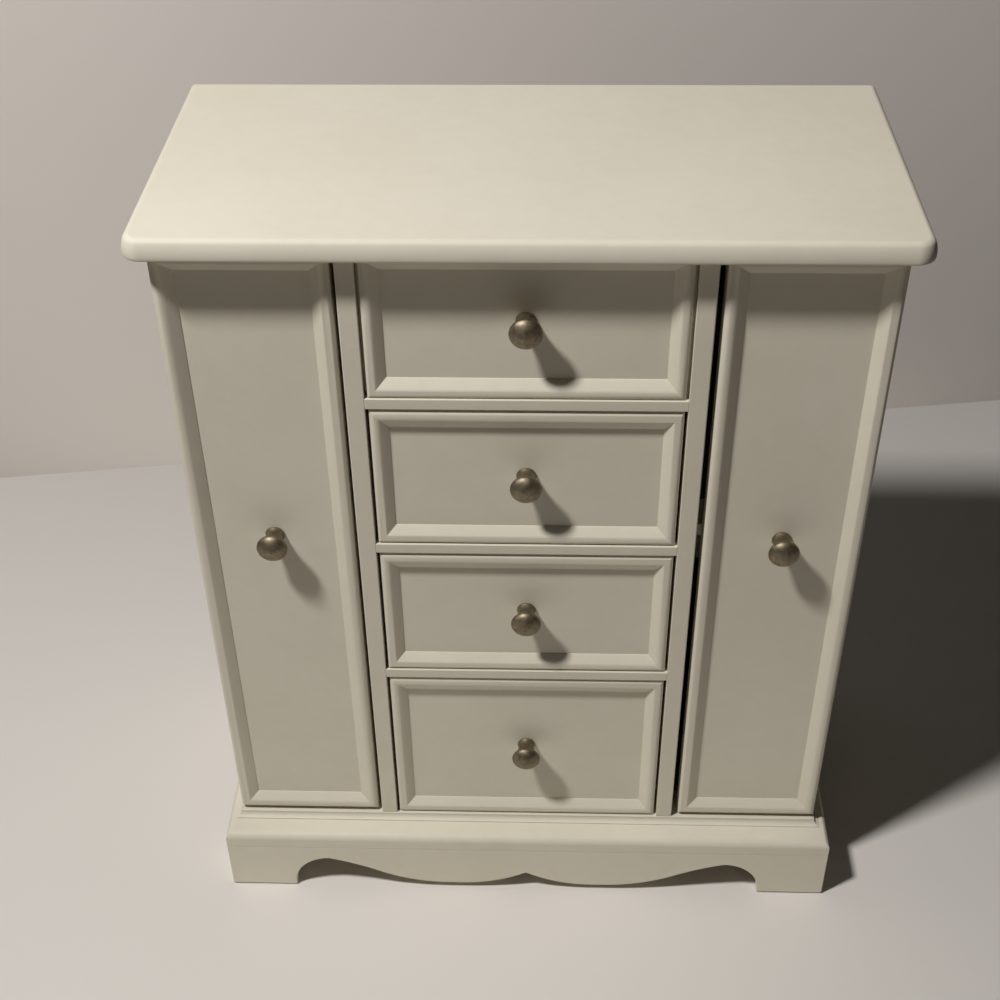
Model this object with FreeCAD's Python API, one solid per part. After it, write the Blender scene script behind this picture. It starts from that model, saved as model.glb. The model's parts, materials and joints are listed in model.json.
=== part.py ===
import FreeCAD, Part
import math
import os

from FreeCAD import Vector

# A standing jewellery chest: a lid over a lined well, a fixed false front, three drawers between
# two narrow doors, and a plinth with a scalloped apron. Every size is in millimetres.
# Width is X, measured from the middle. Depth is Y, measured back from the face of the stiles.
# Height is Z, measured from the floor.

# Driving sizes of the cabinet
body_width = 260.0
body_depth = 120.4
stile_width = 6.9
opening_width = 118.0
rail_thickness = 4.5
drawer_pitch = 68.75
upper_rail_height = 266.75
carcass_base = 35.0
floor_board = 3.0
carcass_top = 326.8
side_thickness = 6.0
back_thickness = 6.0

# Driving sizes of the plinth
plinth_half_width = 136.6
plinth_front = 12.5
apron_thickness = 8.0
base_board_thickness = 8.0
base_nose = 3.2
cove_size = 2.6
pad_thickness = 0.8

# Driving sizes of the lid
lid_half_width = 137.0
lid_front = 8.3
lid_back = 121.0
lid_thickness = 8.0
lid_corner_radius = 7.2
lid_upper_round = 6.5
lid_lower_round = 1.2
lid_gap = 0.4

# Driving sizes of the mirror in the lid's underside
mirror_half_width = 50.5
mirror_front = 19.0
mirror_back = 104.0
mirror_thickness = 2.0

# Driving sizes of the fronts and their mouldings
panel_recess = 3.5
front_panel_thickness = 5.0
door_panel_thickness = 5.5
moulding_height = 3.6
moulding_edge_height = 1.5
moulding_foot_height = 0.9
front_moulding_width = 6.9
door_moulding_width = 7.6
front_side_gap = 1.2
front_bottom_gap = 0.5
front_top_gap = 0.9
left_door_gap = 1.7
right_door_gap = 2.9
door_top_gap = 1.1
door_bottom_gap = 1.8
door_back_gap = 0.4

# Driving sizes of the knobs
knob_radius = 6.1
knob_neck_radius = 2.8
knob_foot_radius = 3.3
knob_length = 12.4
knob_dome = 1.2
door_knob_height = 199.8

# Driving sizes of the drawer boxes
drawer_wall = 5.0
drawer_bottom = 3.0
drawer_end_gap = 0.8
drawer_float = 0.5
drawer_top_room = 13.1
lining = 1.0

# Driving sizes of the hinges
lid_hinge_spacing = 140.0
lid_hinge_length = 18.0
lid_hinge_leaf = 0.8
lid_hinge_radius = 1.6
lid_pin_radius = 0.8
door_hinge_heights = (72.0, 292.0)
door_hinge_length = 16.0
door_hinge_leaf = 0.7
door_hinge_radius = 1.0
door_hinge_reach = 0.3
door_pin_radius = 0.5
pin_clearance = 0.05
knuckle_gap = 0.1
knuckle_clearance = 0.15

# Places worked out from the driving sizes
half_body = body_width / 2
half_opening = opening_width / 2
partition_out = half_opening + stile_width
floor_top = carcass_base + floor_board
back_inside = body_depth - back_thickness
side_inside = half_body - side_thickness
lid_bottom = carcass_top + lid_gap
lid_top = lid_bottom + lid_thickness
door_bottom = floor_top + door_bottom_gap
door_top = carcass_top - door_top_gap
door_back = panel_recess + door_panel_thickness
carcass_front = door_back + door_back_gap
front_back_face = panel_recess + front_panel_thickness
lid_axis_y = lid_back + lid_hinge_radius + 0.2
lid_axis_z = carcass_top + lid_gap / 2
door_axis_x = half_body + door_hinge_reach
door_axis_y = door_back + door_back_gap / 2
box_back = lid_axis_y + lid_hinge_radius
stile_y = (plinth_front - box_back) / 2

PARTS = "parts"


def save(node, *solids):
    """Write one node, moved so that the origin is under the middle of the whole chest."""
    shape = solids[0].copy() if len(solids) == 1 else Part.makeCompound(list(solids))
    shape.translate(Vector(0, stile_y, 0))
    shape.exportStep(os.path.join(PARTS, node + ".step"))


def board(x0, x1, y0, y1, z0, z1):
    return Part.makeBox(x1 - x0, y1 - y0, z1 - z0, Vector(x0, y0, z0))


def mirrored(shape):
    """The same piece on the other side of the chest."""
    return shape.mirror(Vector(0, 0, 0), Vector(1, 0, 0))


def prism(corners, along):
    """Extrude a flat polygon."""
    face = Part.Face(Part.makePolygon(corners + corners[:1]))
    return face.extrude(along)


def outline(start, steps):
    """A closed wire from lines, given by an end, and arcs, given by a middle and an end."""
    edges = []
    here = start
    for step in steps:
        if isinstance(step, tuple):
            edges.append(Part.Arc(here, step[0], step[1]).toShape())
            here = step[1]
        else:
            edges.append(Part.LineSegment(here, step).toShape())
            here = step
    return Part.Wire(edges)


def edges_at(shape, test):
    """The edges whose middle point passes the test."""
    return [edge for edge in shape.Edges if test(edge.BoundBox.Center)]


def near(a, b):
    return abs(a - b) < 0.05


# Mouldings: strips with a rounded crown, mitred round the edge of a panel

def moulding_strip(corner, along, inward, length, width):
    """One strip. It is an even bead, a little steeper towards the panel than at the outer edge."""
    out = Vector(0, -1, 0)
    crest = width / 2

    def at(across, height):
        return corner + inward * across + out * height

    def halfway(side, edge_height):
        """The middle of the arc that falls from the crest to the edge on one side."""
        drop = moulding_height - edge_height
        radius = (crest ** 2 + drop ** 2) / (2 * drop)
        angle = math.asin(crest / radius) / 2
        return at(crest + side * radius * math.sin(angle), moulding_height - radius * (1 - math.cos(angle)))

    section = outline(at(0, 0), [
        at(0, moulding_edge_height),
        (halfway(-1, moulding_edge_height), at(crest, moulding_height)),
        (halfway(1, moulding_foot_height), at(width, moulding_foot_height)),
        at(width, 0),
        at(0, 0)])
    strip = Part.Face(section).extrude(along * length)
    mitres = prism([
        corner,
        corner + along * length,
        corner + along * (length - width) + inward * width,
        corner + along * width + inward * width], out * moulding_height)
    return strip.common(mitres).Solids[0]


def moulding_frame(x0, x1, z0, z1, width):
    """Four mitred strips, glued on the face of a panel."""
    right = Vector(1, 0, 0)
    up = Vector(0, 0, 1)
    y = panel_recess
    return [
        moulding_strip(Vector(x0, y, z0), right, up, x1 - x0, width),
        moulding_strip(Vector(x0, y, z1), right, up * -1, x1 - x0, width),
        moulding_strip(Vector(x0, y, z0), up, right, z1 - z0, width),
        moulding_strip(Vector(x1, y, z0), up, right * -1, z1 - z0, width)]


# Knobs: turned, with a stout neck that spreads a little at the foot and flares to a low domed face

def knob(x, z):
    def at(radius, height):
        return Vector(x + radius, panel_recess - height, z)

    rim = knob_radius
    neck = knob_neck_radius
    edge = 0.45
    face_radius = rim - edge
    face_height = knob_length - knob_dome
    dome_radius = (face_radius ** 2 + knob_dome ** 2) / (2 * knob_dome)
    dome_half_angle = math.asin(face_radius / dome_radius) / 2
    dome_middle = at(dome_radius * math.sin(dome_half_angle),
                     knob_length - dome_radius * (1 - math.cos(dome_half_angle)))
    profile = outline(at(0, 0), [
        at(knob_foot_radius, 0),
        at(knob_foot_radius, 0.5),
        (at(neck + 0.12, 1.1), at(neck, 2.2)),
        at(neck, 4.6),
        (at(neck + 0.85, 7.7), at(rim - edge, face_height - 1.5)),
        (at(rim, face_height - 0.75), at(face_radius, face_height)),
        (dome_middle, at(0, knob_length)),
        at(0, 0)])
    return Part.Face(profile).revolve(Vector(x, 0, z), Vector(0, 1, 0), 360)


# Plinth: aprons mitred at the corners, the front one scalloped between bracket feet

def scallop(side):
    """Half of the front apron's lower edge, from the middle peak to the foot."""
    def at(x, z):
        return Vector(side * x, 0, z)

    return [
        (at(11.5, 6.4), at(27, 3.6)),
        at(38, 3.6),
        (at(54, 5.9), at(68, 11.2)),
        (at(79.5, 16.2), at(90.5, 19.6)),
        (at(101.8, 14.8), at(106.5, pad_thickness))]


def reversed_steps(start, steps):
    """The same lines and arcs, walked from the far end back to the start."""
    points = [start] + [step[1] if isinstance(step, tuple) else step for step in steps]
    back = []
    for index in range(len(steps) - 1, -1, -1):
        step = steps[index]
        back.append((step[0], points[index]) if isinstance(step, tuple) else points[index])
    return back


def front_apron():
    top = carcass_base - base_board_thickness
    foot = pad_thickness
    peak = Vector(0, 0, 11.6)
    steps = scallop(1) + [
        Vector(plinth_half_width, 0, foot),
        Vector(plinth_half_width, 0, top),
        Vector(-plinth_half_width, 0, top),
        Vector(-plinth_half_width, 0, foot),
        Vector(-106.5, 0, foot)] + reversed_steps(peak, scallop(-1))
    wire = outline(peak, steps)
    wire.translate(Vector(0, -plinth_front, 0))
    slab = Part.Face(wire).extrude(Vector(0, apron_thickness, 0))
    return slab.common(apron_plan("front"))


def apron_plan(side):
    """Where an apron lies, seen from above, cut off along the mitres."""
    x = plinth_half_width
    inner_x = x - apron_thickness
    front = -plinth_front
    inner_front = front + apron_thickness
    back = body_depth
    inner_back = back - apron_thickness
    plans = {
        "front": [(-x, front), (x, front), (inner_x, inner_front), (-inner_x, inner_front)],
        "right": [(x, front), (x, back), (inner_x, inner_back), (inner_x, inner_front)],
        "rear": [(x, back), (-x, back), (-inner_x, inner_back), (inner_x, inner_back)]}
    return prism([Vector(px, py, 0) for px, py in plans[side]], Vector(0, 0, carcass_base))


def plain_arch(low, high, foot, crest):
    """A board's lower edge from one foot to the other, with a flat-topped arch between."""
    top = carcass_base - base_board_thickness
    ground = pad_thickness
    shoulder = 13.0

    def at(place, z):
        return Vector(0, place, z)

    left = low + foot
    right = high - foot
    bulge = 0.72
    return outline(at(low, ground), [
        at(left, ground),
        (at(left + shoulder * (1 - bulge), ground + (crest - ground) * bulge), at(left + shoulder, crest)),
        at(right - shoulder, crest),
        (at(right - shoulder * (1 - bulge), ground + (crest - ground) * bulge), at(right, ground)),
        at(high, ground),
        at(high, top),
        at(low, top),
        at(low, ground)])


def side_apron():
    wire = plain_arch(-plinth_front, body_depth, 27.0, 18.0)
    wire.translate(Vector(plinth_half_width - apron_thickness, 0, 0))
    slab = Part.Face(wire).extrude(Vector(apron_thickness, 0, 0))
    return slab.common(apron_plan("right"))


def rear_apron():
    wire = plain_arch(-plinth_half_width, plinth_half_width, 30.0, 18.0)
    wire.rotate(Vector(0, 0, 0), Vector(0, 0, 1), -90)
    wire.translate(Vector(0, body_depth, 0))
    slab = Part.Face(wire).extrude(Vector(0, -apron_thickness, 0))
    return slab.common(apron_plan("rear"))


def corner_places():
    """Inside corners of the plinth, each with the two directions into the plinth."""
    x = plinth_half_width - apron_thickness
    front = -plinth_front + apron_thickness
    back = body_depth - apron_thickness
    return [(side * x, y, -side, inward) for y, inward in ((front, 1), (back, -1)) for side in (-1, 1)]


def corner_block(x, y, to_x, to_y):
    leg = 15.0
    chamfer = 5.0
    top = carcass_base - base_board_thickness
    return prism([
        Vector(x, y, pad_thickness),
        Vector(x + to_x * leg, y, pad_thickness),
        Vector(x + to_x * leg, y + to_y * chamfer, pad_thickness),
        Vector(x + to_x * chamfer, y + to_y * leg, pad_thickness),
        Vector(x, y + to_y * leg, pad_thickness)], Vector(0, 0, top - pad_thickness))


def felt_pad(x, y, to_x, to_y):
    inset = 2.0
    return Part.makeCylinder(6.0, pad_thickness, Vector(x + to_x * inset, y + to_y * inset, 0))


def base_board():
    """The board on the plinth, with its edges rounded over at the front and the sides."""
    slab = board(-plinth_half_width, plinth_half_width, -plinth_front, body_depth,
                 carcass_base - base_board_thickness, carcass_base)

    def rounded(c):
        return near(c.z, carcass_base) and not near(c.y, body_depth)

    return slab.makeFillet(base_nose, edges_at(slab, rounded))


def cove_strip(corner, along, outward, length, cut_start, cut_end):
    """A small hollow moulding where the carcass stands on its base, mitred at the corners."""
    def at(across, height):
        return corner + outward * across + Vector(0, 0, height)

    lip = 0.5
    rise = floor_board
    bend = math.sqrt(0.5)
    hollow = cove_size - lip
    middle = at(cove_size - hollow * bend, rise - (rise - lip) * bend)
    section = outline(at(0, 0), [
        at(cove_size, 0),
        at(cove_size, lip),
        (middle, at(lip, rise)),
        at(0, rise),
        at(0, 0)])
    start = corner - along * (cove_size * cut_start)
    reach = length + cove_size * (cut_start + cut_end)
    section.translate(start - corner)
    strip = Part.Face(section).extrude(along * reach)
    mitres = prism([
        corner,
        corner + along * length,
        corner + along * (length + cove_size * cut_end) + outward * cove_size,
        corner - along * (cove_size * cut_start) + outward * cove_size], Vector(0, 0, rise))
    return strip.common(mitres).Solids[0]


def base_cove():
    front = cove_strip(Vector(-half_body, 0, carcass_base), Vector(1, 0, 0), Vector(0, -1, 0),
                       body_width, 1, 1)
    right = cove_strip(Vector(half_body, 0, carcass_base), Vector(0, 1, 0), Vector(1, 0, 0),
                       body_depth, 1, 0)
    return [front, right, mirrored(right)]


# Hinges: a leaf let into each piece, knuckles round one pin

def lid_hinge_places():
    return [-lid_hinge_spacing / 2, lid_hinge_spacing / 2]


def knuckle_spans(middle, length):
    """Lengths of the barrel for the outer knuckles and for the one between them."""
    third = length / 3
    low = middle - length / 2
    outer = [(low, low + third - knuckle_gap), (low + 2 * third + knuckle_gap, low + length)]
    inner = [(low + third, low + 2 * third)]
    return outer, inner


def lid_hinge_leaf_solid(x, moving):
    outer, inner = knuckle_spans(x, lid_hinge_length)
    low = lid_bottom if moving else carcass_top - lid_hinge_leaf
    plate_end = lid_back
    leaf = board(x - lid_hinge_length / 2, x + lid_hinge_length / 2, back_inside + 0.8, plate_end,
                 low, low + lid_hinge_leaf)
    hole = lid_pin_radius + (pin_clearance if moving else 0)
    for start, end in (inner if moving else outer):
        leaf = leaf.fuse(board(start, end, plate_end, lid_axis_y, low, low + lid_hinge_leaf))
        leaf = leaf.fuse(Part.makeCylinder(lid_hinge_radius, end - start,
                                           Vector(start, lid_axis_y, lid_axis_z), Vector(1, 0, 0)))
    bore = Part.makeCylinder(hole, lid_hinge_length, Vector(x - lid_hinge_length / 2, lid_axis_y, lid_axis_z),
                             Vector(1, 0, 0))
    return leaf.cut(bore).removeSplitter()


def lid_hinge_pin(x):
    return Part.makeCylinder(lid_pin_radius, lid_hinge_length,
                             Vector(x - lid_hinge_length / 2, lid_axis_y, lid_axis_z), Vector(1, 0, 0))


def door_knuckle_room(z):
    """The round space that the knuckles of a door hinge turn in."""
    half_length = door_hinge_length / 2 + knuckle_clearance
    return Part.makeCylinder(door_hinge_radius + knuckle_clearance, 2 * half_length,
                             Vector(door_axis_x, door_axis_y, z - half_length))


def door_hinge_leaf_solid(z, moving):
    """A leaf of a right-hand door hinge. The left-hand ones are its mirror image."""
    outer, inner = knuckle_spans(z, door_hinge_length)
    low = door_back - door_hinge_leaf if moving else carcass_front
    leaf = board(side_inside + 0.8, half_body, low, low + door_hinge_leaf,
                 z - door_hinge_length / 2, z + door_hinge_length / 2)
    leaf = leaf.cut(door_knuckle_room(z))
    hole = door_pin_radius + (pin_clearance if moving else 0)
    for start, end in (inner if moving else outer):
        arm_start = door_axis_x - door_hinge_radius - 2 * knuckle_clearance
        leaf = leaf.fuse(board(arm_start, door_axis_x, low, low + door_hinge_leaf, start, end))
        leaf = leaf.fuse(Part.makeCylinder(door_hinge_radius, end - start,
                                           Vector(door_axis_x, door_axis_y, start)))
    bore = Part.makeCylinder(hole, door_hinge_length,
                             Vector(door_axis_x, door_axis_y, z - door_hinge_length / 2))
    return leaf.cut(bore).removeSplitter()


def door_hinge_pin(z):
    return Part.makeCylinder(door_pin_radius, door_hinge_length,
                             Vector(door_axis_x, door_axis_y, z - door_hinge_length / 2))


def door_hinge_seat(z, low):
    """The shallow pocket for a door hinge's leaf, with a rounded notch round its knuckles."""
    leaf_seat = board(side_inside + 0.8, half_body + 1, low, low + door_hinge_leaf,
                      z - door_hinge_length / 2, z + door_hinge_length / 2)
    return leaf_seat.fuse(door_knuckle_room(z))


# Carcass

def side_panel():
    """The right-hand side, with pockets for the door's hinges in its front edge."""
    panel = board(side_inside, half_body, carcass_front, body_depth, floor_top, carcass_top)
    for z in door_hinge_heights:
        panel = panel.cut(door_hinge_seat(z, carcass_front))
    return panel


def partition():
    """The right-hand partition. Its front edge is the stile."""
    panel = board(half_opening, partition_out, 0, back_inside, floor_top, carcass_top)
    edges = edges_at(panel, lambda c: near(c.y, 0) and near(c.x, partition_out))
    return panel.makeChamfer(0.3, edges)


def divider(level):
    """A shelf between the partitions. Its front edge is the rail over a drawer."""
    return board(-half_opening, half_opening, 0, back_inside, level - rail_thickness, level)


def back_panel():
    """The back, with pockets for the lid's hinges in its top edge."""
    panel = board(-side_inside, side_inside, back_inside, body_depth, floor_top, carcass_top)
    for x in lid_hinge_places():
        panel = panel.cut(board(x - lid_hinge_length / 2, x + lid_hinge_length / 2, back_inside + 0.8,
                                body_depth, carcass_top - lid_hinge_leaf, carcass_top))
    return panel


def top_cap():
    """The narrow board over the right-hand necklace bay."""
    thickness = 5.0
    return board(partition_out, side_inside, carcass_front, back_inside, carcass_top - thickness, carcass_top)


def open_box(x0, x1, y0, y1, z0, z1, wall, open_side):
    """A thin lining, open at the top or at the front."""
    outer = board(x0, x1, y0, y1, z0, z1)
    if open_side == "top":
        inner = board(x0 + wall, x1 - wall, y0 + wall, y1 - wall, z0 + wall, z1 + wall)
    else:
        inner = board(x0 + wall, x1 - wall, y0 - wall, y1 - wall, z0 + wall, z1 - wall)
    return outer.cut(inner)


def door_stop():
    """A block behind the free edge of the right-hand door, holding its magnet."""
    block = board(partition_out, partition_out + 6, carcass_front, carcass_front + 5,
                  door_knob_height - 15, door_knob_height + 15)
    return block.cut(door_magnet())


def door_magnet():
    return Part.makeCylinder(2.0, 3.0, Vector(partition_out + 3, carcass_front, door_knob_height),
                             Vector(0, 1, 0))


def ring_cushion():
    """Padded rolls side by side on one block, rounded off at both ends. Rings stand in the slits."""
    rolls = 5
    pitch = 9.2
    low = upper_rail_height + lining
    front = front_back_face + lining + 0.4
    half_length = half_opening - lining - 0.4
    valley = low + 21.8
    crown = low + 26.0
    shape_steps = []
    for index in range(rolls):
        here = front + index * pitch
        shape_steps.append((Vector(0, here + pitch / 2, crown), Vector(0, here + pitch, valley)))
    end = front + rolls * pitch
    wire = outline(Vector(0, front, valley), shape_steps + [
        Vector(0, end, low), Vector(0, front, low), Vector(0, front, valley)])
    wire.translate(Vector(-half_length, 0, 0))
    bar = Part.Face(wire).extrude(Vector(2 * half_length, 0, 0))
    shoulder = 6.0
    bend = shoulder * (1 - math.sqrt(0.5))
    under = low - 1
    before = front - 1
    ends = outline(Vector(-half_length, before, under), [
        Vector(half_length, before, under),
        Vector(half_length, before, crown - shoulder),
        (Vector(half_length - bend, before, crown - bend), Vector(half_length - shoulder, before, crown)),
        Vector(-half_length + shoulder, before, crown),
        (Vector(-half_length + bend, before, crown - bend), Vector(-half_length, before, crown - shoulder)),
        Vector(-half_length, before, under)])
    return bar.common(Part.Face(ends).extrude(Vector(0, end + 1 - before, 0))).Solids[0]


# Lid

def lid_board():
    """A flat board, rounded over at the front and the sides, with a recess for the mirror."""
    slab = board(-lid_half_width, lid_half_width, -lid_front, lid_back, lid_bottom, lid_top)
    front_corners = edges_at(slab, lambda c: near(c.y, -lid_front) and abs(c.x) > half_body
                             and near(c.z, (lid_bottom + lid_top) / 2))
    slab = slab.makeFillet(lid_corner_radius, front_corners)

    def not_back(c):
        return c.y < lid_back - 1

    slab = slab.makeFillet(lid_upper_round, edges_at(slab, lambda c: near(c.z, lid_top) and not_back(c)))
    slab = slab.makeFillet(lid_lower_round, edges_at(slab, lambda c: near(c.z, lid_bottom) and not_back(c)))
    slab = slab.cut(board(-mirror_half_width, mirror_half_width, mirror_front, mirror_back,
                          lid_bottom, lid_bottom + mirror_thickness))
    for x in lid_hinge_places():
        slab = slab.cut(board(x - lid_hinge_length / 2, x + lid_hinge_length / 2, back_inside + 0.8,
                              lid_back, lid_bottom, lid_bottom + lid_hinge_leaf))
    return slab


def mirror_glass():
    return board(-mirror_half_width, mirror_half_width, mirror_front, mirror_back,
                 lid_bottom, lid_bottom + mirror_thickness)


def mirror_frame():
    """Four thin mitred slips that hold the mirror up in its recess."""
    cover = 1.5
    width = 6.0
    thickness = 1.8
    x = mirror_half_width - cover + width
    inner_x = x - width
    front = mirror_front + cover - width
    inner_front = front + width
    back = mirror_back - cover + width
    inner_back = back - width
    z = lid_bottom - thickness
    plans = [
        [(-x, front), (x, front), (inner_x, inner_front), (-inner_x, inner_front)],
        [(x, front), (x, back), (inner_x, inner_back), (inner_x, inner_front)],
        [(x, back), (-x, back), (-inner_x, inner_back), (inner_x, inner_back)],
        [(-x, back), (-x, front), (-inner_x, inner_front), (-inner_x, inner_back)]]
    slips = []
    for plan in plans:
        slip = prism([Vector(px, py, z) for px, py in plan], Vector(0, 0, thickness))
        slips.append(slip)
    return slips


# Drawers

def drawer(name, low, high):
    """One drawer between the tops of two shelves: low is under it and high is over it."""
    half_front = half_opening - front_side_gap
    bottom = low + front_bottom_gap
    top = high - front_top_gap
    save(name + "_front", board(-half_front, half_front, panel_recess, front_back_face, bottom, top))
    save(name + "_moulding", *moulding_frame(-half_front, half_front, bottom, top, front_moulding_width))
    save(name + "_knob", knob(0, (bottom + top) / 2))

    box_low = low + drawer_float
    box_top = high - drawer_top_room
    end = back_inside - drawer_end_gap
    inside = half_front - drawer_wall
    right = board(inside, half_front, front_back_face, end, box_low, box_top)
    back = board(-inside, inside, end - drawer_wall, end, box_low, box_top)
    save(name + "_walls", right, mirrored(right), back)
    sheet_low = box_low + 1.5
    save(name + "_bottom", board(-inside, inside, front_back_face, end - drawer_wall,
                                 sheet_low, sheet_low + drawer_bottom))
    save(name + "_lining", open_box(-inside, inside, front_back_face, end - drawer_wall,
                                    sheet_low + drawer_bottom, box_top - 1.5, lining, "top"))


# Doors

def necklace_hook(x, z):
    """A small brass hook: a round foot, a stem, and an upturned end with a ball."""
    wire_radius = 0.7
    bend = 3.0
    y = door_back
    reach = 4.5
    tip = 3.0
    middle = bend * math.sqrt(0.5)
    stem = Part.LineSegment(Vector(x, y, z), Vector(x, y + reach, z)).toShape()
    turn = Part.Arc(Vector(x, y + reach, z),
                    Vector(x, y + reach + middle, z + bend - middle),
                    Vector(x, y + reach + bend, z + bend)).toShape()
    end = Part.LineSegment(Vector(x, y + reach + bend, z + bend),
                           Vector(x, y + reach + bend, z + bend + tip)).toShape()
    path = Part.Wire([stem, turn, end])
    ring = Part.Wire(Part.makeCircle(wire_radius, Vector(x, y, z), Vector(0, 1, 0)))
    wire = path.makePipeShell([ring], True, True)
    foot = Part.makeCylinder(2.4, 0.8, Vector(x, y, z), Vector(0, 1, 0))
    ball = Part.makeSphere(1.15, Vector(x, y + reach + bend, z + bend + tip))
    return foot.fuse([wire, ball])


def door(name, side, gap):
    """One door. side is 1 on the right and -1 on the left, and gap is between it and its stile."""
    def placed(shape):
        return shape if side > 0 else mirrored(shape)

    door_inner = partition_out + gap
    panel = board(door_inner, half_body, panel_recess, door_back, door_bottom, door_top)
    for z in door_hinge_heights:
        panel = panel.cut(door_hinge_seat(z, door_back - door_hinge_leaf))
    save(name + "_panel", placed(panel))
    strips = moulding_frame(door_inner, half_body, door_bottom, door_top, door_moulding_width)
    save(name + "_moulding", *[placed(strip) for strip in strips])
    middle = (door_inner + half_body) / 2
    save(name + "_knob", placed(knob(middle, door_knob_height)))
    hook_spacing = 16.0
    hook_height = door_top - 24.0
    hooks = [necklace_hook(middle + step * hook_spacing, hook_height) for step in (-1, 0, 1)]
    save(name + "_hooks", *[placed(hook) for hook in hooks])
    save(name + "_hinge_leaves", *[placed(door_hinge_leaf_solid(z, True)) for z in door_hinge_heights])


def build():
    os.makedirs(PARTS, exist_ok=True)

    save("front_apron", front_apron())
    save("side_aprons", side_apron(), mirrored(side_apron()))
    save("rear_apron", rear_apron())
    save("corner_blocks", *[corner_block(*place) for place in corner_places()])
    save("felt_pads", *[felt_pad(*place) for place in corner_places()])
    save("base_board", base_board())
    save("base_cove", *base_cove())

    save("cabinet_floor", board(-half_body, half_body, 0, body_depth, carcass_base, floor_top))
    save("right_side_panel", side_panel())
    save("left_side_panel", mirrored(side_panel()))
    save("right_partition", partition())
    save("left_partition", mirrored(partition()))
    levels = [upper_rail_height - step * drawer_pitch for step in range(3)]
    for name, level in zip(("upper", "middle", "lower"), levels):
        save(name + "_divider", divider(level))
    save("back_panel", back_panel())
    save("top_caps", top_cap(), mirrored(top_cap()))

    half_front = half_opening
    false_low = upper_rail_height + front_bottom_gap
    false_top = carcass_top - 0.4
    save("false_front_panel", board(-half_front, half_front, panel_recess, front_back_face,
                                    upper_rail_height, carcass_top))
    save("false_front_moulding", *moulding_frame(-half_front + front_side_gap, half_front - front_side_gap,
                                                 false_low, false_top, front_moulding_width))
    save("false_front_knob", knob(0, (false_low + false_top) / 2 + 1.5))
    save("well_lining", open_box(-half_opening, half_opening, front_back_face, back_inside,
                                 upper_rail_height, carcass_top - 2.5, lining, "top"))
    save("ring_cushion", ring_cushion())
    lining_front = carcass_front + 5.6
    bay = open_box(partition_out, side_inside, lining_front, back_inside, floor_top, carcass_top - 5,
                   lining, "front")
    save("bay_linings", bay, mirrored(bay))
    save("door_stops", door_stop(), mirrored(door_stop()))
    save("door_magnets", door_magnet(), mirrored(door_magnet()))

    fixed = [door_hinge_leaf_solid(z, False) for z in door_hinge_heights]
    save("door_hinge_fixed_leaves", *(fixed + [mirrored(leaf) for leaf in fixed]))
    save("lid_hinge_fixed_leaves", *[lid_hinge_leaf_solid(x, False) for x in lid_hinge_places()])
    door_pins = [door_hinge_pin(z) for z in door_hinge_heights]
    lid_pins = [lid_hinge_pin(x) for x in lid_hinge_places()]
    save("hinge_pins", *(door_pins + [mirrored(pin) for pin in door_pins] + lid_pins))

    save("lid_board", lid_board())
    save("mirror_glass", mirror_glass())
    save("mirror_frame", *mirror_frame())
    save("lid_hinge_moving_leaves", *[lid_hinge_leaf_solid(x, True) for x in lid_hinge_places()])

    drawer("upper_drawer", levels[1], levels[0] - rail_thickness)
    drawer("middle_drawer", levels[2], levels[1] - rail_thickness)
    drawer("lower_drawer", floor_top, levels[2] - rail_thickness)

    door("left_door", -1, left_door_gap)
    door("right_door", 1, right_door_gap)


build()
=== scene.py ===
import json
import math

import bmesh
import bpy
from mathutils import Matrix, Vector, noise

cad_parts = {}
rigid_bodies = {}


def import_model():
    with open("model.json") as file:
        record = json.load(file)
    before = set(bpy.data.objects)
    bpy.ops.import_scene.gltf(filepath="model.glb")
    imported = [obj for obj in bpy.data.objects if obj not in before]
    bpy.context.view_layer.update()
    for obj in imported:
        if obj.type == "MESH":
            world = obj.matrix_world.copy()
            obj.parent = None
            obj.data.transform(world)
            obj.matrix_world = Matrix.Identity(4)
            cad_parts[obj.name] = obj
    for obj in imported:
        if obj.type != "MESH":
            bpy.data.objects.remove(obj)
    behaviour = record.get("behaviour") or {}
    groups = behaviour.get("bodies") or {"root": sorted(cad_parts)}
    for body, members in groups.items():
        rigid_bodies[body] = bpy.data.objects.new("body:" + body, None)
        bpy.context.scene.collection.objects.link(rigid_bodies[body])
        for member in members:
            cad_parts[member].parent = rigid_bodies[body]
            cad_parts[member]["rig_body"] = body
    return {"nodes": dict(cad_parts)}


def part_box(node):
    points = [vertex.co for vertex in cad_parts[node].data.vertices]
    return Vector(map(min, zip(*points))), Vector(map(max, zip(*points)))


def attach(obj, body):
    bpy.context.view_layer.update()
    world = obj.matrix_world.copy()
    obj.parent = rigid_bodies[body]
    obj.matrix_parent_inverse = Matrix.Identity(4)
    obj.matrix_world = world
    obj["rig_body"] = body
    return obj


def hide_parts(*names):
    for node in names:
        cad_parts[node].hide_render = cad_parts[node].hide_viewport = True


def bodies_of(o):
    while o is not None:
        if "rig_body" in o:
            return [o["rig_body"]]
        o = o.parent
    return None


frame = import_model()
bpy.context.view_layer.update()
mm = 0.001


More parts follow.
